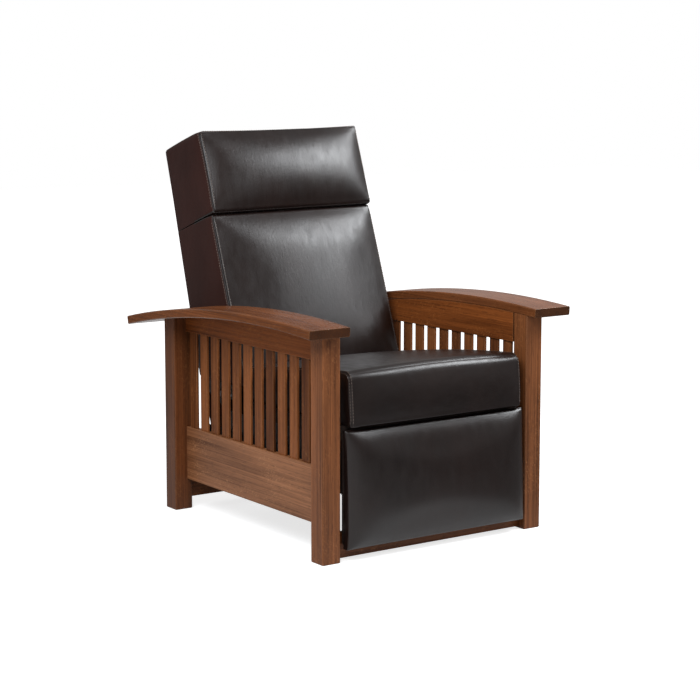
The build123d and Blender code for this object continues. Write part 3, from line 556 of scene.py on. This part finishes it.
def inflate(piece, quads, held, pressure, let_out, cap, passes=12):
    """Runs cloth with a push from inside and the hide let out by a share, keeps each point within
    cap of its start, and evens the shifts out in so many passes."""
    start = points_of(piece)
    group = piece.vertex_groups.new(name="held")
    group.add(np.flatnonzero(held).tolist(), 1.0, "REPLACE")
    cloth = piece.modifiers.new("cloth", "CLOTH")
    hide = cloth.settings
    hide.quality = 5
    hide.mass = 0.4
    hide.tension_stiffness = hide.compression_stiffness = 18
    hide.shear_stiffness = 8
    hide.bending_stiffness = 3
    hide.use_pressure = True
    hide.uniform_pressure_force = pressure
    hide.shrink_min = -let_out
    hide.vertex_group_mass = group.name
    hide.effector_weights.gravity = 0
    cloth.collision_settings.use_collision = False
    for step in range(1, cloth_frames + 1):
        scene.frame_set(step)
    flat = np.zeros(start.size, np.float32)
    swollen = piece.evaluated_get(bpy.context.evaluated_depsgraph_get())
    swollen.data.vertices.foreach_get("co", flat)
    shift = flat.reshape(-1, 3) - start
    scene.frame_set(1)
    piece.modifiers.remove(cloth)
    piece.vertex_groups.remove(group)
    far = np.linalg.norm(shift, axis=1, keepdims=True)
    shift = evened(shift * np.minimum(1, cap / np.maximum(far, 1e-9)), quads, held, passes)
    move_points(piece, start + shift)
    far = np.linalg.norm(shift, axis=1)
    print(piece.name, "swells by up to", round(float(far.max()) * 1000, 1), "mm")


def subdivide(piece):
    """Applies one Catmull-Clark subdivision to a piece's mesh."""
    smooth = piece.modifiers.new("smooth", "SUBSURF")
    smooth.levels = smooth.render_levels = 1
    finer = bpy.data.meshes.new_from_object(piece.evaluated_get(bpy.context.evaluated_depsgraph_get()))
    piece.modifiers.remove(smooth)
    old = piece.data
    piece.data = finer
    bpy.data.meshes.remove(old)
    finer.name = piece.name


# %% [markdown]
# The back leans 19.8 degrees. Its head and body cushions are boxed round a flat wooden frame,
# which sits in a pocket in their rear. Their front panels are crowned: a panel rises off its seam
# steeply and then levels out, as a pillow does, and the head's sides pull in a little between its
# corners. The body's seam lies 13 mm behind the head's. Where the two cushions meet, the corners
# are rounded and the hides are full enough to touch behind them. Hand-filled cushions are never
# quite even: both tip 3.5 mm to one side, and one top corner of the head is rounder than the other.

# %% Head and body cushions
tilt = math.radians(19.8)
seam_place = (front_y + 0.540, 0.453)
back_half, back_low, back_split, back_gap, back_top = 0.285, -0.060, 0.457, 0.005, 0.704
back_foot, head_lift, body_set_back = 0.396, 0.007, 0.013
foot_depth, top_depth, boxing_depth, boxing_pitch = 0.247, 0.204, 0.23, 0.013
shoulder_in, shoulder_run = 0.004, 0.025
frame_pocket, pocket_rim, wing = 0.0473, 0.007, 0.008
pull, body_full, tip, boxing_full, seam_hold = 0.004, 0.001, 0.0035, 0.0035, 0.008
rear_turn_in, rear_turn_width = 0.0062, 0.004
split_full, split_edge, split_rear = 0.0029, 0.004, 0.0023
split_radius, top_radius, slack_radius = 0.012, 0.008, 0.014


def back_at(x, v, w):
    """Places at x across, v up the seam's plane and w forward out of it, in the chair's frame."""
    y = seam_place[0] + v * math.sin(tilt) - w * math.cos(tilt)
    z = seam_place[1] + v * math.cos(tilt) + w * math.sin(tilt)
    return np.stack(np.broadcast_arrays(x, y, z), axis=-1)


def back_depth(v):
    """The back's depth behind its seam, which shrinks evenly from its foot to its top."""
    return foot_depth + (v - back_low) / (back_top - back_low) * (top_depth - foot_depth)


def pillow(a, b, half_width, half_height, softness):
    """A crowned panel's rise from 0 at its seam to 1: one less the exponential of the distance to
    the seam over a softness, where the distances to the four sides are blended by a power mean."""
    to_side = half_width * (1 - np.abs(a)) + 1e-6
    to_end = half_height * (1 - np.abs(b)) + 1e-6
    away = (to_side ** -3 + to_end ** -3) ** (-1 / 3)
    return 1 - np.exp(-away / (softness * half_height))


def shoulder(away):
    """How far the boxing rolls in toward its front seam: a parabola over its last 25 mm."""
    return shoulder_in * np.clip(1 - away / shoulder_run, 0, 1) ** 2


def rounded(across, along, radius):
    """Draws two signed distances past a corner's centre in from a square to a quarter circle. Only
    places past the centre both ways move, each along its own ray, so nested squares turn to arcs."""
    past = (across > 0) & (along > 0) & (radius > 0)
    keep = np.maximum(across, along) / (np.hypot(across, along) + 1e-9)
    return np.where(past, across * keep, across), np.where(past, along * keep, along)


def two_hides(piece, quads, dull):
    """Gives the faces whose corners are all dull points the duller hide, as a second material."""
    piece.data.materials.append(hides["side"])
    piece.data.polygons.foreach_set("material_index", dull[quads].all(axis=1).astype(np.int32))


def back_cushion(name, low, high, is_head, front_w, rise, softness, arch, arch_power):
    """A boxed cushion of the back: its boxing narrows upward, its rear has a pocket for the frame, and
    it is full enough to meet the other cushion behind the split's edges. Arch is the share of its
    crown that is a long curve from edge to edge, and the rest levels out as a pillow does."""
    height = high - low
    shares, quads = block_skin(
        spaced(seam_steps, 2 * back_half, hide_pitch),
        spaced(seam_steps, height, hide_pitch),
        spaced(seam_steps, boxing_depth, boxing_pitch),
    )
    a, b, c = 2 * shares[:, 0] - 1, shares[:, 1], shares[:, 2]
    level = 2 * b - 1
    depth = back_depth(low + b * height) + front_w
    w = front_w - depth * (1 - c)
    is_front, is_rear = c > on_last, c < on_first
    is_side, is_foot, is_top = np.abs(a) > on_last, b < on_first, b > on_last
    level_foot = (back_foot - seam_place[1] - w * math.sin(tilt)) / math.cos(tilt)
    foot = low if is_head else level_foot
    to_side, to_end, to_front = back_half * (1 - np.abs(a)), height / 2 * (1 - np.abs(level)), front_w - w
    drawn_in = pull if is_head else -body_full
    rise_up = high - foot - (shoulder(to_front) if is_head else 0)
    v = foot + b * rise_up + tip * a * (1 if is_head else b) * c ** 2

    crown = (1 - arch) * pillow(a, level, back_half, height / 2, softness)
    crown = crown + arch * (1 - np.abs(level) ** arch_power) * (1 - a ** 2)
    w = w + np.where(is_front, crown * rise + seam_relief(np.minimum(to_side, to_end)), 0)
    x = a * (back_half - shoulder(to_front)) - np.where(is_side, np.sign(a) * (1 - level ** 2) * drawn_in, 0)
    swell = seam_relief(to_front) + boxing_full * np.sin(math.pi * c) * np.sin(math.pi * b)
    rear_turn = rear_turn_in * np.exp(-((depth - to_front) / rear_turn_width) ** 2)
    x = x + np.where(is_side, np.sign(a) * (swell - rear_turn), 0)
    full = split_full * pillow(a, 2 * c - 1, back_half, depth / 2, split_edge / (depth / 2))
    full = np.maximum(full, split_rear * (1 - c) ** 2)
    if is_head:
        v = v - np.where(is_foot, full, 0)
        v = v + np.where(is_top, seam_relief(to_front) - (1 - a ** 2) * pull - rear_turn, 0)
        ends = [(1, high, top_radius + slack_radius * (a < 0) * c ** 2), (-1, low, split_radius * c ** 6)]
    else:
        v = v + np.where(is_top, full, 0)
        ends = [(1, high, split_radius * c ** 6)]
    for way, end, radius in ends:
        past_x, past_v = rounded(np.abs(x) - back_half + radius, way * (v - end) + radius, radius)
        x = np.sign(x) * (past_x + back_half - radius)
        v = way * (past_v - radius) + end
    pocket = is_rear & (np.abs(a) * back_half < back_half - pocket_rim)
    if is_head:
        pocket &= low + b * height < back_top - pocket_rim
    w = np.where(pocket, w + frame_pocket, w)

    cushion = solid_piece(name, back_at(x, v, w), quads, hides["back"])
    in_split = is_foot if is_head else is_top
    two_hides(cushion, quads, (to_front > 0.001) & ~(in_split & (c > 0.5)))
    held = ~(is_front & (to_side > seam_hold) & (to_end > seam_hold))
    inflate(cushion, quads, held, pressure=3, let_out=0.002, cap=0.003, passes=24)
    subdivide(cushion)
    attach(cushion, "back")
    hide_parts("head_cushion" if is_head else "body_cushion")
    return cushion


foot_v = (back_foot - seam_place[1]) / math.cos(tilt)
head_low, head_high = back_split + back_gap, back_top + head_lift
body_cushion = back_cushion(
    "leather_body_cushion", foot_v, back_split, is_head=False, front_w=-body_set_back,
    rise=0.033, softness=0.17, arch=0.5, arch_power=6,
)
head_cushion = back_cushion(
    "leather_head_cushion", head_low, head_high, is_head=True, front_w=0.0,
    rise=0.036, softness=0.32, arch=0.5, arch_power=2,
)
print("back cushions:", len(body_cushion.data.polygons), "and", len(head_cushion.data.polygons), "faces")

# %% [markdown]
# The seat cushion is a wedge with a waterfall front: its top panel rolls over the front edge and
# runs down the nose, and strips of boxing close its sides. It is highest just behind the front
# edge and falls to the rear. The nose leans back toward its top and is crowned between its side
# seams. The roll is a quarter circle, drawn in from the block's square front top corner.

# %% Seat cushion
seat_half, seat_low, seat_nose = 0.289, 0.3643, front_y - 0.020
nose_round, seat_front_top, seat_rear_top = 0.022, 0.5093, 0.4523
nose_foot, nose_lean, nose_crown, crown_width = 0.010, 0.011, 0.013, 0.035
crown_at_ends, top_arch, top_lift, top_crown = 0.6, 0.006, 0.007, 0.009
seat_off_back, rim_share, rim_drop, seat_boxing_full = 0.0223, 0.93, 0.002, 0.003
free_across, free_above, free_ahead = 0.97, 0.08, 0.02


def seat_surface(shares):
    """Places of the seat cushion: a block between its rear slope and its nose, whose top falls to
    the rear in a low arch, crowned across, and whose front top corner is rolled to a quarter circle."""
    a, b, c = 2 * shares[:, 0] - 1, shares[:, 1], shares[:, 2]
    rear_lean = (seat_low - seam_place[1] + b * (seat_rear_top - seat_low)) * math.tan(tilt)
    rear_y = seam_place[0] - seat_off_back * math.cos(tilt) + rear_lean
    full = 1 - np.exp(-seat_half * (1 - np.abs(a)) / crown_width)
    bulge = nose_crown * full * (crown_at_ends + (1 - crown_at_ends) * np.sin(math.pi * b))
    front = seat_nose + nose_foot + nose_lean * b ** 1.5 - bulge
    y = rear_y + c * (front - rear_y)
    top_front = seat_nose + nose_foot + nose_lean - crown_at_ends * nose_crown * full
    along = np.clip((y - top_front - nose_round) / (rear_y - top_front - nose_round), 0, 1)
    top = seat_front_top + along * (seat_rear_top - seat_front_top) + top_arch * 4 * along * (1 - along)
    top = top + (top_lift - top_crown * a ** 2)
    z = seat_low + b * (top - seat_low)
    centre_y, centre_z = top_front + nose_round, top - nose_round
    forward, above = rounded(centre_y - y, z - centre_z, nose_round)
    return a, b, c, centre_y - forward, centre_z + above


seat_length, seat_height = seam_place[0] - seat_nose, seat_front_top - seat_low
roll_steps, nose_pitch = seam_steps + [0.0035] * 5, 0.0065
shares, quads = block_skin(
    spaced(seam_steps, 2 * seat_half, hide_pitch),
    spaced(roll_steps, seat_height, nose_pitch),
    spaced(roll_steps, seat_length, hide_pitch),
)
a, b, c, y, z = seat_surface(shares)
is_side, is_panel = np.abs(a) > on_last, (b > on_last) | (c > on_last)
panel_relief = np.where(is_panel, seam_relief(seat_half * (1 - np.abs(a))), 0)
z = z + np.where(b > on_last, panel_relief, 0)
y = y - np.where(c > on_last, panel_relief, 0)
to_panel = np.minimum((1 - b) * seat_height, (1 - c) * seat_length)
swell = seam_relief(to_panel) + seat_boxing_full * np.sin(math.pi * b)
x = a * seat_half + np.where(is_side, np.sign(a) * swell, 0)
z = z - np.where((b < on_first) & (np.abs(a) > rim_share), rim_drop, 0)
seat_cushion = solid_piece("leather_seat_cushion", np.stack([x, y, z], axis=1), quads, hides["seat"])
held = ~(is_panel & (np.abs(a) < free_across) & (b > free_above) & (c > free_ahead))
inflate(seat_cushion, quads, held, pressure=1.5, let_out=0.001, cap=0.0025, passes=50)
subdivide(seat_cushion)
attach(seat_cushion, "seat")
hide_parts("seat_cushion")
print("seat cushion:", len(seat_cushion.data.polygons), "faces")

# %% [markdown]
# The long seams are top-stitched: a row of stitches 5 mm from the seam on either side holds the
# turned hide down. The thread is bonded nylon about 1 mm thick, a shade paler than the hide and
# slightly shiny, and a machine set to 8 mm lays it. One stitch is a thin rod with tapered ends.
# Copies of it are laid along each row, on the cushion's finished surface, their ends sunk in it.


# %% Top stitching
def nylon_thread():
    """Bonded nylon thread: paler than the hide, with a tight twist every 3 mm."""
    thread, place = new_finish("brown_nylon_thread")
    twist = stretched_noise(thread, place, 3, 3, Detail=1.0)
    colour = shaded(thread, twist, [(0.3, "#43362F"), (0.7, "#6B5C52")])
    bump = bumped(thread, 0.3, 0.0003, twist)
    return glazed(thread, {"Base Color": colour, "Roughness": 0.42, "Normal": bump})


stitch_pitch, stitch_length, stitch_radius = 0.008, 0.0056, 0.0008
row_points, row_start, row_drop, top_row_share, body_row_foot = 60, 0.05, 0.006, 0.93, 0.03
thread = nylon_thread()
rod_along = np.array([-0.5, -0.38, 0.0, 0.38, 0.5])
rod_width = np.array([0.35, 0.9, 1.0, 0.9, 0.35])
rod_sides, rod_points = 6, 6 * len(rod_along)
rod_turn = np.arange(rod_sides) * 2 * math.pi / rod_sides
ring, side = np.meshgrid(np.arange(len(rod_along) - 1), np.arange(rod_sides), indexing="ij")
here, after = ring * rod_sides + side, ring * rod_sides + (side + 1) % rod_sides
rod_quads = np.stack([here, after, after + rod_sides, here + rod_sides], axis=-1).reshape(-1, 4)
rod_ends = [list(range(rod_sides))[::-1], list(range(rod_points - rod_sides, rod_points))]


def lay_stitches(name, cushion, rows, body):
    """Copies of the stitch at even steps along each row of points. Each place is dropped to the nearest
    place on the cushion, and the stitch lies along the row there, with its ends lower than its middle."""
    mesh = cushion.data
    tree = BVHTree.FromPolygons([v.co for v in mesh.vertices], [tuple(p.vertices) for p in mesh.polygons])
    frames = []
    for row in rows:
        gone = np.concatenate([[0], np.cumsum(np.linalg.norm(np.diff(row, axis=0), axis=1))])
        at = np.arange(stitch_pitch / 2, gone[-1], stitch_pitch)
        places = np.stack([np.interp(at, gone, row[:, i]) for i in range(3)], axis=1)
        ahead = np.stack([np.interp(at + 0.001, gone, row[:, i]) for i in range(3)], axis=1)
        for place, onward in zip(places, ahead):
            spot, normal, _, _ = tree.find_nearest(Vector(place))
            along = Vector(onward) - Vector(place)
            along = (along - normal * along.dot(normal)).normalized()
            frames.append((spot, along, normal.cross(along), normal))
    frames = np.array(frames, float)
    rise = stitch_radius * (0.55 - 4 * rod_along ** 2)
    along = np.repeat(rod_along * stitch_length, rod_sides)
    aside = (stitch_radius * rod_width[:, None] * np.cos(rod_turn)).ravel()
    above = (stitch_radius * rod_width[:, None] * np.sin(rod_turn) + rise[:, None]).ravel()
    local = np.stack([np.ones(rod_points), along, aside, above], axis=1)
    points = np.einsum("nfi,pf->npi", frames, local).reshape(-1, 3)
    first = rod_points * np.arange(len(frames))
    quads = (rod_quads[None] + first[:, None, None]).reshape(-1, 4).tolist()
    ends = [[corner + step for corner in end] for step in first.tolist() for end in rod_ends]
    stitching = solid_piece(name, points, quads + ends, thread)
    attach(stitching, body)
    print(name, len(frames), "stitches")


def back_rows(low, high, front_w, drawn_in):
    """Rows beside the two upright front seams of a back cushion: on its panel, from 6 mm above it,
    and on its boxing."""
    share = np.linspace(row_start, 1 - row_start, row_points)
    v = low + share * (high - low)
    half = back_half - drawn_in * (1 - (2 * share - 1) ** 2)
    rows = [back_at(side * (half - shoulder(0) - off_seam), v, front_w + row_drop) for side in (-1, 1)]
    return rows + [back_at(side * (half - shoulder(off_seam)), v, front_w - off_seam) for side in (-1, 1)]


def seat_row(a, b, c):
    """One row on the seat cushion, from places in its block."""
    a, b, c = np.broadcast_arrays(a, b, c)
    _, _, _, y, z = seat_surface(np.stack([(a + 1) / 2, b, c], axis=1))
    return np.stack([a * seat_half, y, z], axis=1)


head_top = np.linspace(-top_row_share, top_row_share, row_points) * back_half
head_rows = back_rows(head_low, head_high, 0.0, pull)
head_rows.append(back_at(head_top, head_high - pull - shoulder(off_seam), -off_seam))
lay_stitches("head_cushion_stitches", head_cushion, head_rows, "back")
body_rows = back_rows(foot_v + body_row_foot, back_split, -body_set_back, -body_full)
lay_stitches("body_cushion_stitches", body_cushion, body_rows, "back")
down, back_to_front = np.linspace(1, 0.06, row_points // 2), np.linspace(row_start, 1, row_points)
near = 1 - off_seam / seat_half
in_top, in_nose = 1 - off_seam / seat_height, 1 - off_seam / seat_length
seat_rows = []
for side in (-1, 1):
    for at, high_at, front_at in ((side * near, 1.0, 1.0), (side, in_top, in_nose)):
        over_top = seat_row(at, high_at, back_to_front * front_at)
        seat_rows.append(np.concatenate([over_top, seat_row(at, down * high_at, front_at)]))
lay_stitches("seat_cushion_stitches", seat_cushion, seat_rows, "seat")

# %% [markdown]
# The leg rest's pad hangs in front of its board: a shallow pillow, 36 mm proud of the posts, tied to
# the board by a strip of boxing about 16 mm wide. Its corners are pinched thin, so the panel rises
# off them slowly, and its filling has settled, so its top is 12 mm thinner than its bottom.

# %% Leg rest pad
pad_half, pad_low, pad_high = 0.303, 0.034, 0.354
pad_seam, pad_back, pad_rise, pad_settled = front_y - 0.006, front_y + 0.0097, 0.030, 0.006
pad_softness, pad_seam_share = 0.17, 0.6
height = pad_high - pad_low
shares, quads = block_skin(
    spaced(seam_steps, 2 * pad_half, hide_pitch),
    spaced(seam_steps, height, hide_pitch),
    np.array([0, 0.3, 0.55, 0.75, 0.9, 1.0]),
)
a, b, c = 2 * shares[:, 0] - 1, 2 * shares[:, 1] - 1, shares[:, 2]
is_side, is_end, is_front = np.abs(a) > on_last, np.abs(b) > on_last, c > on_last
x = a * pad_half - np.where(is_side, np.sign(a) * pull * (1 - b ** 2), 0)
z = (pad_low + pad_high) / 2 + b * height / 2 - np.where(is_end, np.sign(b) * pull * (1 - a ** 2), 0)
y = pad_back + c * (pad_seam + pad_settled * b - pad_back)
to_seam = np.minimum(pad_half * (1 - np.abs(a)), height / 2 * (1 - np.abs(b)))
crown = pad_rise * pillow(a, b, pad_half, height / 2, pad_softness)
y = y - np.where(is_front, crown + pad_seam_share * seam_relief(to_seam), 0)
leg_pad = solid_piece("leather_leg_rest_pad", np.stack([x, y, z], axis=1), quads, hides["pad"])
held = ~(is_front & (to_seam > seam_hold))
inflate(leg_pad, quads, held, pressure=2, let_out=0.001, cap=0.003)
subdivide(leg_pad)
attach(leg_pad, "leg_rest")
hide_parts("leg_rest_pad")
print("leg rest pad:", len(leg_pad.data.polygons), "faces")

# %% [markdown]
# The outside back is a hide pulled over a thin board and tacked into the pocket behind the
# cushions. It is nearly flat, with edges that roll in and a slight fullness in the middle.

# %% Outside back
panel_half, panel_clear, panel_foot_depth, panel_thick = 0.2757, 0.0003, 0.258, 0.005
panel_roll, panel_full, panel_softness = 0.0025, 0.001, 0.03
panel_top = back_top - wing - panel_clear
panel_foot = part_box("back_panel")[0].z
panel_low = (panel_foot - seam_place[1] + panel_foot_depth * math.sin(tilt)) / math.cos(tilt)
panel_height = panel_top - panel_low
panel_steps, coarse_pitch = [0.002, 0.004, 0.006], 0.016
shares, quads = block_skin(
    spaced(panel_steps, 2 * panel_half, coarse_pitch),
    spaced(panel_steps, panel_height, coarse_pitch),
    np.array([0, 0.5, 1.0]),
)
a, b, c = 2 * shares[:, 0] - 1, shares[:, 1], shares[:, 2]
v = panel_low + b * panel_height
full = pillow(a, 2 * b - 1, panel_half, panel_height / 2, panel_softness)
rear_form = np.where(c < on_first, panel_roll * (1 - full) - panel_full * full, 0)
w = -back_depth(v) + panel_thick * c + rear_form
panel_points = back_at(a * panel_half, v, w)
outside_back = solid_piece("leather_outside_back", panel_points, quads[:, ::-1], hides["side"])
subdivide(outside_back)
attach(outside_back, "back")
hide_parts("back_panel")
print("outside back:", len(outside_back.data.polygons), "faces")

# %% [markdown]
# Under the cushions run straps of elastic webbing, woven black with a few paler warp threads, and
# stapled to the rails. They are modelled directly, as thin flat bands with rounded edges, because
# a cloth run would lose them. The weave is about 2 mm from thread to thread, drawn at 4 mm.


# %% Webbing
def webbing():
    """Black elastic webbing: a weave of two crossed waves, with pale warp threads at intervals."""
    woven, place = new_finish("black_elastic_webbing")
    warp = add(woven, "TexWave", {"Vector": place, "Scale": 78.0}, bands_direction="X").outputs[1]
    weft = add(woven, "TexWave", {"Vector": place, "Scale": 78.0}, bands_direction="DIAGONAL").outputs[1]
    weave = maths(woven, "MULTIPLY", warp, weft)
    colour = shaded(woven, weave, [(0.1, "#151413"), (0.8, "#47423C")])
    bump = bumped(woven, 0.7, 0.0006, weave)
    return glazed(woven, {"Base Color": colour, "Roughness": 0.85, "Normal": bump, "Sheen Weight": 0.2})


woven = webbing()
strap_half, strap_thick, strap_count, strap_sag, strap_inset = 0.023, 0.002, 5, 0.003, 0.046
strap_across = np.array([0, 0.04, 0.2, 0.4, 0.6, 0.8, 0.96, 1.0])
strap_steps, strap_edge, edge_thinning = 48, 0.95, 0.45
strap_shares, strap_quads = block_skin(strap_across, np.linspace(0, 1, strap_steps + 1), [0, 1])
edge_thin = 1 - edge_thinning * (np.abs(2 * strap_shares[:, 0] - 1) > strap_edge)


def straps(name, middles, place):
    """Straps side by side: one band's shares, tiled once for each strap's middle, then placed."""
    count = len(strap_shares)
    all_shares = np.tile(strap_shares, (len(middles), 1))
    middle = np.repeat(np.asarray(middles, float), count)
    across = middle + (2 * all_shares[:, 0] - 1) * strap_half
    thick = (all_shares[:, 2] - 0.5) * strap_thick * np.tile(edge_thin, len(middles))
    quads = np.concatenate([strap_quads + i * count for i in range(len(middles))])
    return solid_piece(name, place(across, all_shares[:, 1], thick), quads, woven)


seat_strap_low, seat_strap_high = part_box("seat_webbing")
strap_pitch = (seat_strap_high.x - seat_strap_low.x - 2 * strap_half) / (strap_count - 1)
seat_straps = straps(
    "seat_webbing_straps", (np.arange(strap_count) - (strap_count - 1) / 2) * strap_pitch,
    lambda across, along, thick: np.stack([
        across,
        seat_strap_low.y + along * (seat_strap_high.y - seat_strap_low.y),
        (seat_strap_low.z + seat_strap_high.z) / 2 + thick - strap_sag * np.sin(math.pi * along),
    ], axis=1),
)
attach(seat_straps, "seat")
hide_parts("seat_webbing")
back_straps = straps(
    "back_webbing_straps", [0.15, 0.25, 0.35, 0.45, 0.55],
    lambda across, along, thick: back_at(
        (1 - 2 * along) * panel_half, across, -back_depth(across) + strap_inset + thick
    ),
)
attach(back_straps, "back")
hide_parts("back_webbing")
print("straps:", len(seat_straps.data.polygons), "and", len(back_straps.data.polygons), "faces")
